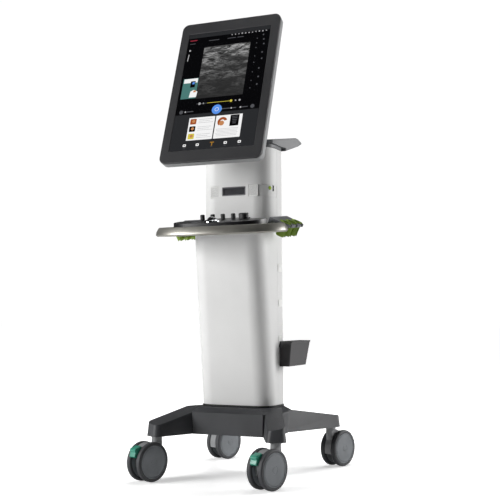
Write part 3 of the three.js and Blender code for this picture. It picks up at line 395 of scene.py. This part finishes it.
# glass-filled nylon: dark grey and satin, with a faint drift of shade
handle_nylon = finish_of("grey_glass_filled_nylon", "#47494c", "#525457", 0.5, 70, 1.0, 0.03)
rounded("column_top_cap", handle_nylon, 2.0)
rounded("rear_handle", handle_nylon, 3.0)

# ---- tilt bracket ----
# A charcoal arm bolted to the spine ends in a bored boss with a steel shaft through it, and friction on the shaft
# holds the monitor at its angle. The arm is drawn in the same textured ABS as the band.
rounded("tilt_bracket", satin_abs, 2.5)
rounded("tilt_shaft", tube_steel, 0.8)

# ---- monitor housing and bezel ----
# The portrait monitor is a grey ABS back shell and a charcoal front bezel, moulded apart and screwed together.
# Both are satin with rounded edges; the LCD panel sits between them.

# satin-moulded ABS: mid grey behind and nearly black in front
shell_abs = finish_of("grey_satin_abs", "#8a8b8c", "#969798", 0.4, 90, 1.1, 0.03)
bezel_abs = finish_of("charcoal_satin_abs", "#28282a", "#2f2f31", 0.42, 120, 1.2, 0.03)
rounded("monitor_rear_housing", shell_abs, 2.5)
rounded("monitor_bezel", bezel_abs, 1.6)
rounded("lcd_panel", black_abs, 0.8)

# ---- touch glass and its picture ----
# One sheet of black-backed glass covers the display. Its picture is light, so each patch glows in its own colour:
# a status bar, the ultrasound image, a preview, a slider, a round key, two cards and a row of menu signs.

# float glass printed black behind: a dark, even mirror
glass = finish_of("black_backed_touch_glass", "#020203", "#040406", 0.09, 200, 2.0, 0.001)
rounded("touch_glass", glass, 0.4)
TILT = math.radians(19.1)
OUT = Vector((0, -math.cos(TILT), math.sin(TILT)))
UP = Vector((0, math.sin(TILT), math.cos(TILT)))
glass_low, glass_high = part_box("touch_glass")
GLASS_HALF = 1.75
screen_middle = (glass_low + glass_high) / 2 + OUT * GLASS_HALF * MM


def glow(name, colour, strength=1.0):
    """The light of one colour on the display, varying over 1.5 mm, which is coarser than the dots of a real one."""
    material = bpy.data.materials.new(name)
    material.use_nodes = True
    shader = material.node_tree.nodes["Principled BSDF"]
    shader.inputs["Base Color"].default_value = linear("#050506")
    shader.inputs["Roughness"].default_value = 0.15
    shader.inputs["Emission Strength"].default_value = strength
    place = add(material, "ShaderNodeTexCoord")
    grain = add(material, "ShaderNodeTexNoise", {
        "Vector": (place, "Object"), "Scale": 1 / (1.5 * MM), "Detail": 1.0,
    })
    shade = add(material, "ShaderNodeValToRGB", {"Fac": (grain, "Fac")})
    dimmest = 0.86
    red, green, blue, _ = linear(colour)
    shade.color_ramp.elements[0].color = (red * dimmest, green * dimmest, blue * dimmest, 1)
    shade.color_ramp.elements[1].color = (red, green, blue, 1)
    material.node_tree.links.new(shade.outputs["Color"], shader.inputs["Emission Color"])
    return material


glows = {
    "white": glow("lit_white", "#fbfbfb"),
    "pale": glow("lit_pale_grey", "#b9b9bb"),
    "grey": glow("lit_mid_grey", "#55565a"),
    "panel": glow("lit_dark_panel", "#2b2c2e"),
    "black": glow("lit_black", "#030304"),
    "red": glow("lit_red", "#a03040"),
    "yellow": glow("lit_yellow", "#d8c84a"),
    "blue": glow("lit_blue", "#5c97f0"),
    "amber": glow("lit_amber", "#a87a2c"),
    "tan": glow("lit_tan", "#c98a5a"),
    "green": glow("lit_sea_green", "#4d7d78"),
    "rust": glow("lit_rust", "#a5552d"),
}
picture_pieces = {}


def patch(colour, outline, u, v, level, turn=0.0):
    """One patch of the picture: its outline moved to (u, v) from the middle of the display, level steps up."""
    cosine, sine = math.cos(math.radians(turn)), math.sin(math.radians(turn))
    placed = [(u + x * cosine - y * sine, v + x * sine + y * cosine) for x, y in outline]
    picture_pieces.setdefault(colour, []).append((placed, level))


def circle(radius, steps=20):
    """A circle as outline points."""
    return [(x, y) for x, y in arc_points(0, 0, radius, 0, 360, steps)][:-1]


def strip(width, height):
    """A sharp-cornered rectangle, centred, as outline points."""
    x, y = width / 2, height / 2
    return [(-x, -y), (x, -y), (x, y), (-x, y)]


random.seed(4)
SCREEN_WIDTH = 296
patch("black", strip(SCREEN_WIDTH, SCREEN_WIDTH), 0, 58, 0)
patch("panel", strip(SCREEN_WIDTH, 16), 0, 214, 1)
patch("panel", strip(SCREEN_WIDTH, 132), 0, -156.5, 0)
for i in range(11):
    patch("pale", circle(random.uniform(1.8, 2.8), 8), 12 + i * 12.2, 203 + random.uniform(-0.6, 0.6), 2)
patch("red", strip(26, 3.4), -128, 197, 1)
for u, length in ((-52, 38), (12, 30), (44, 22)):
    patch("grey", strip(length, 2.2), u, 190, 1)
patch("grey", strip(20, 2), -130, 184, 1)
patch("pale", circle(3.4, 10), -136, 158, 1, 20)
patch("pale", strip(3, 26), -138, 130, 1, -4)
for v in (188, 170, 152, 120, 96, 60, 28, 0):
    patch("grey", circle(3.0, 8), 128 + 4 * math.sin(v), v, 1)
    patch("grey", circle(2.0, 8), 106, v - 12, 1)
patch("green", strip(55, 77), -112.5, 8.5, 1)
patch("white", strip(50, 16), -112, 38, 2)
patch("white", [(-14, -12), (12, -16), (17, 4), (4, 14), (-8, 10)], -98, -12, 2, 8)
patch("black", strip(17, 24), -103, 24, 3)
patch("blue", strip(8, 8), -101, 28, 4)
patch("tan", strip(9, 7), -92, -4, 3)
patch("grey", strip(120, 1.6), -17, -53, 1)
patch("yellow", strip(84, 1.6), 4, -53, 2)
patch("yellow", circle(4.6), 46, -53, 3)
for u, radius in ((-66, 4.6), (-52, 2.6), (62, 2.4), (76, 3.6)):
    patch("pale", circle(radius, 12), u, -53, 1)
patch("blue", circle(17.5, 32), 0, -80, 2)
patch("white", circle(7, 20), 0, -80, 3)
patch("blue", circle(5.6, 20), 0, -80, 4)
for u, length in ((-96, 24), (34, 26), (62, 12), (98, 20)):
    patch("grey", strip(length, 3), u, -80, 1)
    patch("pale", circle(3, 10), u - length / 2 - 5, -80, 1)
for u in (-128, 124):
    patch("grey", circle(7), u, -80, 1)
for u in (-47, 49):
    patch("white", rectangle(92, 83, 1.5), u, -146, 1)
for i, colour in enumerate(("rust", "black", "yellow")):
    v = -119 - 27 * i
    patch(colour, rectangle(22, 20, 3), -77, v, 2)
    patch("tan", circle(5.5, 12), -76, v + 1, 3)
    for k, length in enumerate((48, 40, 52)):
        patch("pale", strip(length, 1.2), -32 - (52 - length) / 2, v + 6 - 6 * k, 2)
patch("rust", arc_points(0, 0, 17, 20, 230, 12) + arc_points(0, 0, 8, 230, 20, 10), 27, -128, 2)
patch("tan", circle(9, 14), 25, -133, 3)
patch("black", strip(31, 40), 69, -126, 2)
for k in range(5):
    patch("grey", strip(20 - 2 * k, 2.4), 69, -112 - 6 * k, 3)
for k in range(6):
    patch("pale", strip(78 - 4 * (k % 3), 1.1), 47, -154 - 5 * k, 2)
for u, colour in ((-95, "white"), (-49, "white"), (2, "amber"), (49, "white"), (97, "white")):
    if colour == "amber":
        patch("amber", strip(14, 3.4), u, -200, 2)
        patch("amber", strip(3.4, 13), u, -206, 2)
    else:
        patch(colour, rectangle(11, 9, 2), u, -205, 2)
        patch("panel", rectangle(5, 3.4, 1), u, -205, 3)
    patch("grey", strip(8, 1.4), u, -216, 1)

# each patch is a thin flat slip; its level lifts it off the glass, clear of the patches on the level below
LEVEL_STEP = 0.09
PATCH_GAP = 0.04
PATCH_THICKNESS = 0.05
for colour, patches in picture_pieces.items():
    form = bmesh.new()
    for outline, level in patches:
        height = (level * LEVEL_STEP + PATCH_GAP) * MM
        places = [screen_middle + Vector((u * MM, 0, 0)) + UP * v * MM + OUT * height for u, v in outline]
        lower = [form.verts.new(point) for point in places]
        upper = [form.verts.new(vertex.co + OUT * PATCH_THICKNESS * MM) for vertex in lower]
        form.faces.new(list(reversed(lower)))
        form.faces.new(upper)
        for i in range(len(outline)):
            j = (i + 1) % len(outline)
            form.faces.new((lower[i], lower[j], upper[j], upper[i]))
    bmesh.ops.recalc_face_normals(form, faces=form.faces)
    mesh = bpy.data.meshes.new(f"screen_{colour}")
    form.to_mesh(mesh)
    form.free()
    shown(f"screen_{colour}", mesh, glows[colour], "monitor")

# ---- ultrasound image ----
# The scan itself is light from the same display. Tissue shows as slanting stretched speckle, bright at the top near
# the probe and fading to dark with depth.
SCAN_WIDTH, SCAN_HEIGHT, SCAN_MIDDLE = 167, 198, 66
scan = bpy.data.materials.new("ultrasound_speckle")
scan.use_nodes = True
scan_links = scan.node_tree.links
scan_shader = scan.node_tree.nodes["Principled BSDF"]
scan_shader.inputs["Base Color"].default_value = linear("#050506")
scan_shader.inputs["Roughness"].default_value = 0.15
scan_shader.inputs["Emission Strength"].default_value = 1.0
flat = Matrix.Rotation(TILT - math.pi / 2, 3, "X")
scan_centre = screen_middle + UP * SCAN_MIDDLE * MM
scan_place = add(scan, "ShaderNodeTexCoord")
on_screen = add(scan, "ShaderNodeMapping", {
    "Vector": (scan_place, "Object"), "Rotation": (TILT - math.pi / 2, 0, 0), "Location": -(flat @ scan_centre),
})
stretched = add(scan, "ShaderNodeMapping", {
    "Vector": (on_screen, "Vector"), "Rotation": (0, 0, math.radians(-16)), "Scale": (1.0, 3.6, 1.0),
})
speckle = add(scan, "ShaderNodeTexNoise", {
    "Vector": (stretched, "Vector"), "Scale": 1 / (32 * MM), "Detail": 9.0, "Roughness": 0.72, "Distortion": 1.4,
})
layers = add(scan, "ShaderNodeTexNoise", {
    "Vector": (stretched, "Vector"), "Scale": 1 / (90 * MM), "Detail": 3.0, "Distortion": 0.8,
})
split = add(scan, "ShaderNodeSeparateXYZ", {"Vector": (on_screen, "Vector")})
depth = add(scan, "ShaderNodeMapRange", {
    "Value": (split, "Y"), "From Min": -SCAN_HEIGHT / 2 * MM, "From Max": SCAN_HEIGHT / 2 * MM,
    "To Min": 0.16, "To Max": 1.0,
})
fade = add(scan, "ShaderNodeMath", {0: (depth, "Result"), 1: 2.2}, operation="POWER")
contrast = add(scan, "ShaderNodeMapRange", {"Value": (speckle, "Fac"), "From Min": 0.42, "From Max": 0.68})
banded = add(scan, "ShaderNodeMapRange", {
    "Value": (layers, "Fac"), "From Min": 0.42, "From Max": 0.62, "To Min": 0.12,
})
product = add(scan, "ShaderNodeMath", {0: (contrast, "Result"), 1: (banded, "Result")}, operation="MULTIPLY")
dimmed = add(scan, "ShaderNodeMath", {0: (product, "Value"), 1: (fade, "Value")}, operation="MULTIPLY")
SCAN_BLACK = 0.022
level = add(scan, "ShaderNodeMath", {0: (dimmed, "Value"), 1: SCAN_BLACK}, operation="ADD")
grey = add(scan, "ShaderNodeCombineColor", {
    "Red": (level, "Value"), "Green": (level, "Value"), "Blue": (level, "Value"),
})
scan_links.new(grey.outputs["Color"], scan_shader.inputs["Emission Color"])
SCAN_LIFT = 0.13
scan_base = scan_centre + OUT * SCAN_LIFT * MM
slab("ultrasound_image", rectangle(SCAN_WIDTH, SCAN_HEIGHT, 0.5), scan_base, OUT, PATCH_THICKNESS, 0, scan,
     "monitor", UP)

# ---- console rim and tray ----
# The console is a bent aluminium rim round a moulded ABS tray. The rim's face is rounded, and it is lacquered in a
# warm metallic grey.

# lacquer over metal flake: a soft streak of light runs along the rounded face
rim_lacquer = finish_of("warm_metallic_lacquer", "#8f8d86", "#a09e97", 0.36, 60, 0.8, 0.01, metallic=0.7)
rounded("console_rim", rim_lacquer, 5.5, 5)
rounded("console_tray", satin_abs, 1.2)

# ---- key deck, knobs and trackball ----
# A black ABS deck stands on the tray with four rubber-gripped knobs, a wider dial and two keys beside a trackball
# in a polished ring. The grips are fluted so that a gloved finger turns them.

# textured ABS and moulded rubber: two blacks, the rubber duller; polished phenolic and chrome: sharp highlights
deck_abs = finish_of("black_deck_abs", "#121214", "#19191c", 0.38, 60, 0.9, 0.03)
grip_rubber = finish_of("black_grip_rubber", "#0d0d0e", "#151517", 0.5, 12, 0.8, 0.03)
ball_phenolic = finish_of("polished_phenolic_ball", "#17171a", "#202024", 0.12, 14, 0.8, 0.003, coat=0.6)
ring_chrome = finish_of("polished_chrome_ring", "#c8cacc", "#d8dadb", 0.1, 20, 1.0, 0.003, metallic=1.0)
rounded("console_deck", deck_abs, 1.6)
for place in ("left", "right"):
    rounded(f"select_key_{place}", satin_abs, 1.4)
rounded("trackball_ring", ring_chrome, 1.0)
BALL_RADIUS = 17
ball = [(abs(radius), far) for radius, far in arc_points(0, 0, BALL_RADIUS, -90, 90, 30)]
ball_piece = shown("trackball_sphere", turned(ball, JOINTS["trackball_roll"]["pos_m"], (0, 0, 1), 48), ball_phenolic,
                   "trackball")
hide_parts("trackball")


HALF_FLUTE = 0.25


def fluted_knob(name, radius, height, flutes):
    """A knob with a fluted grip, a bevelled top with a pointer line, and its shaft down into the deck."""
    joint = JOINTS[f"{name}_turn"]
    profile = [(0, -6), (3, -6), (3, 0.5), (radius, 0.5), (radius, height - 2.2), (radius - 1.4, height - 0.4),
               (radius - 2.2, height), (radius - 3.4, height - 0.5), (0, height - 0.5)]
    mesh = turned(profile, joint["pos_m"], joint["axis"], flutes * 6)
    centre, axis = Vector(joint["pos_m"]), Vector(joint["axis"])
    across = axis.orthogonal().normalized()
    third = axis.cross(across)
    for vertex in mesh.vertices:
        offset = vertex.co - centre
        out = offset - axis * offset.dot(axis)
        on_side = 0.55 * MM < offset.dot(axis) < (height - 1) * MM and out.length > (radius - 1.5) * MM
        if on_side or abs(out.length - radius * MM) < 0.01 * MM:
            angle = math.atan2(out.dot(third), out.dot(across))
            vertex.co -= out.normalized() * HALF_FLUTE * MM * (1 + math.cos(flutes * angle))
    piece = shown(name + "_grip", mesh, grip_rubber, name, 40)
    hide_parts(name)
    pointer_base = centre + axis * (height - 0.5) * MM + across * (radius * 0.45) * MM
    slab(name + "_pointer", rectangle(1.0, radius * 0.6, 0.4, 3), pointer_base, axis, 0.25, 0, grille_abs,
         name, across)


KNOB_HEIGHT = 19
KNOB_RADIUS, KNOB_FLUTES = 7.5, 14
DIAL_RADIUS, DIAL_FLUTES = 16, 28
for i in range(4):
    fluted_knob(f"knob_{i + 1}", KNOB_RADIUS, KNOB_HEIGHT, KNOB_FLUTES)
fluted_knob("gain_dial", DIAL_RADIUS, KNOB_HEIGHT, DIAL_FLUTES)

# ---- probe holders and cups ----
# A grey ABS rack slopes out on each side of the console, and three lime silicone liners are pressed into it;
# each is slit on the outside so that a probe's cable can slip in.

# moulded ABS: mid grey and satin; moulded silicone: lime green with a wide dull highlight
holder_abs = finish_of("grey_holder_abs", "#57595c", "#65676a", 0.4, 50, 1.0, 0.03)
lime_silicone = finish_of("lime_silicone_liner", "#66801f", "#7d972f", 0.46, 26, 1.0, 0.03, ior=1.43)
for place in ("left", "right"):
    rounded(f"probe_holder_{place}", holder_abs, 1.8)
    for i in range(3):
        rounded(f"probe_cup_{place}_{i + 1}", lime_silicone, 0.9)

# ---- storage bin ----
# A thin-walled bin hooked on the right side of the column, moulded in charcoal ABS with a bead round its mouth.
# It narrows towards its floor, and its front wall is lower than the others.

# moulded ABS: charcoal with a warm cast and a low shine
bin_abs = finish_of("charcoal_bin_abs", "#242225", "#2c2a2c", 0.5, 60, 1.0, 0.03)
bin_low, bin_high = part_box("storage_bin")
BIN_WALL = 2.6
FRONT_DROP = 15
FRONT_CORNER = 4
REAR_CORNER = 5
BIN_TAPER = (8, 24)
BEAD = 1.2
LIP_EDGE = 0.5


def bin_ring(inset, height, follows_top):
    """One ring round the bin, inset from its mouth; a ring that follows the top dips along the front wall."""
    x0, y0, x1, y1 = bin_low.x / MM, bin_low.y / MM, bin_high.x / MM, bin_high.y / MM
    outline = [
        (x0 + inset, y0 + inset, 1), (x1 - FRONT_CORNER - inset, y0 + inset, 1),
        (x1 - inset, y0 + FRONT_CORNER + inset, 0), (x1 - inset, y1 - REAR_CORNER - inset, 0),
        (x1 - REAR_CORNER - inset, y1 - inset, 0), (x0 + inset, y1 - inset, 0),
        (x0 + inset, y0 + FRONT_CORNER + inset, 0),
    ]
    ring = []
    for x, y, is_front in outline:
        z = height - (FRONT_DROP if is_front and follows_top else 0)
        down = (bin_high.z / MM - z) / ((bin_high.z - bin_low.z) / MM)
        ring.append(Vector((
            x - BIN_TAPER[0] * down * (x - x0) / (x1 - x0), y - BIN_TAPER[1] * down * (y - y0) / (y1 - y0), z,
        )) * MM)
    return ring


bin_top, bin_bottom = bin_high.z / MM, bin_low.z / MM
shell = bmesh.new()
shell_rings = [[shell.verts.new(point) for point in bin_ring(inset, height, follows)] for inset, height, follows in (
    (BEAD, bin_bottom, False), (BEAD, bin_top - 6, True), (0, bin_top - 5, True), (0, bin_top, True),
    (BEAD + BIN_WALL, bin_top, True), (BEAD + BIN_WALL, bin_bottom + BIN_WALL, False),
)]
for lower, upper in zip(shell_rings, shell_rings[1:]):
    for i in range(len(lower)):
        j = (i + 1) % len(lower)
        shell.faces.new((lower[i], lower[j], upper[j], upper[i]))
shell.faces.new(shell_rings[0])
shell.faces.new(shell_rings[-1])
bmesh.ops.recalc_face_normals(shell, faces=shell.faces)
bin_mesh = bpy.data.meshes.new("storage_bin_shell")
shell.to_mesh(bin_mesh)
shell.free()
bin_piece = shown("storage_bin_shell", bin_mesh, bin_abs, "root")
bin_edges = bin_piece.modifiers.new("rounded_edges", "BEVEL")
bin_edges.width = LIP_EDGE * MM
bin_edges.segments = 2
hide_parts("storage_bin")

# ---- studio ----
# The cart stands in a white studio: a pale floor that runs into a white sweep, a large soft light above it,
# a smaller one in front on the left, a little above the screen, and a narrow one behind on the right.
floor_paint = bpy.data.materials.new("pale_studio_floor")
floor_paint.use_nodes = True
floor_shader = floor_paint.node_tree.nodes["Principled BSDF"]
floor_shader.inputs["Base Color"].default_value = linear("#f4f4f4")
floor_shader.inputs["Roughness"].default_value = 0.9
floor_shader.inputs["Emission Color"].default_value = (1, 1, 1, 1)
floor_place = add(floor_paint, "ShaderNodeTexCoord")
away = add(floor_paint, "ShaderNodeVectorMath", {0: (floor_place, "Object")}, operation="LENGTH")
sweep = add(floor_paint, "ShaderNodeMapRange", {
    "Value": (away, "Value"), "From Min": 0.4, "From Max": 2.2, "To Min": 0.45, "To Max": 1.0,
})
looked_at = add(floor_paint, "ShaderNodeLightPath")
white_only_to_the_eye = add(floor_paint, "ShaderNodeMath", {
    0: (sweep, "Result"), 1: (looked_at, "Is Camera Ray"),
}, operation="MULTIPLY")
floor_paint.node_tree.links.new(white_only_to_the_eye.outputs["Value"], floor_shader.inputs["Emission Strength"])
FLOOR_HALF = 60.0
FLOOR_DROP = 0.5  # keeps the floor clear of the treads
floor_form = bmesh.new()
bmesh.ops.create_grid(floor_form, x_segments=1, y_segments=1, size=FLOOR_HALF)
floor_mesh = bpy.data.meshes.new("studio_floor")
floor_form.to_mesh(floor_mesh)
floor_form.free()
floor_mesh.materials.append(floor_paint)
floor = bpy.data.objects.new("studio_floor", floor_mesh)
floor.location.z = -FLOOR_DROP * MM
bpy.context.scene.collection.objects.link(floor)

# The backdrop is white. As a light, the room is dim: a little brighter behind and on the left, and dark overhead
# and in front on the right, so the glass mirrors a dark ceiling and the column's round corner stays darker.
studio = bpy.data.worlds.new("white_studio")
studio.use_nodes = True
bpy.context.scene.world = studio
room = studio.node_tree.nodes["Background"]
way = add(studio, "ShaderNodeTexCoord")
rise = add(studio, "ShaderNodeSeparateXYZ", {"Vector": (way, "Generated")})
low_light = add(studio, "ShaderNodeMapRange", {
    "Value": (rise, "Z"), "From Min": 0.38, "From Max": 0.62, "To Min": 1.1, "To Max": 0.03,
})
BACK_LEFT = (-0.72, 0.69, 0.0)
backward = add(studio, "ShaderNodeVectorMath", {
    0: (way, "Generated"), 1: BACK_LEFT,
}, operation="DOT_PRODUCT")
back_light = add(studio, "ShaderNodeMapRange", {
    "Value": (backward, "Value"), "From Min": -0.8, "From Max": 0.35, "To Min": 0.25, "To Max": 1.0,
})
brightness = add(studio, "ShaderNodeMath", {
    0: (low_light, "Result"), 1: (back_light, "Result"),
}, operation="MULTIPLY")
studio.node_tree.links.new(brightness.outputs["Value"], room.inputs["Strength"])
backdrop = add(studio, "ShaderNodeBackground", {"Color": (1, 1, 1, 1), "Strength": 1.02})
seen = add(studio, "ShaderNodeLightPath")
shown_room = add(studio, "ShaderNodeMixShader", {
    0: (seen, "Is Camera Ray"), 1: (room, "Background"), 2: (backdrop, "Background"),
})
studio.node_tree.links.new(shown_room.outputs["Shader"], studio.node_tree.nodes["World Output"].inputs["Surface"])


def softbox(name, spot, target, width, height, power):
    """A rectangular soft light at spot that points at target."""
    lamp = bpy.data.lights.new(name, "AREA")
    lamp.shape = "RECTANGLE"
    lamp.size = width
    lamp.size_y = height
    lamp.energy = power
    holder = bpy.data.objects.new(name, lamp)
    holder.location = spot
    holder.rotation_euler = (Vector(target) - Vector(spot)).to_track_quat("-Z", "Y").to_euler()
    holder.visible_camera = False
    bpy.context.scene.collection.objects.link(holder)


softbox("softbox_above", spot=(0.0, 0.5, 3.4), target=(0, 0, 0), width=2.0, height=2.0, power=70)
softbox("softbox_front_left", spot=(-2.9, -2.9, 1.6), target=(0, 0, 0.7), width=1.9, height=1.9, power=168)
softbox("softbox_back_right", spot=(2.9, 2.4, 1.4), target=(0, 0, 0.7), width=1.2, height=2.2, power=112)

lens = bpy.data.cameras.new("camera")
lens.sensor_width = 36
lens.lens = 69.83
camera = bpy.data.objects.new("camera", lens)
camera.location = (1.3113, -3.0061, 0.5159)
camera.rotation_euler = (math.radians(94.0), 0, math.radians(23.3))
bpy.context.scene.collection.objects.link(camera)
bpy.context.scene.camera = camera
bpy.context.scene.view_settings.view_transform = "Standard"
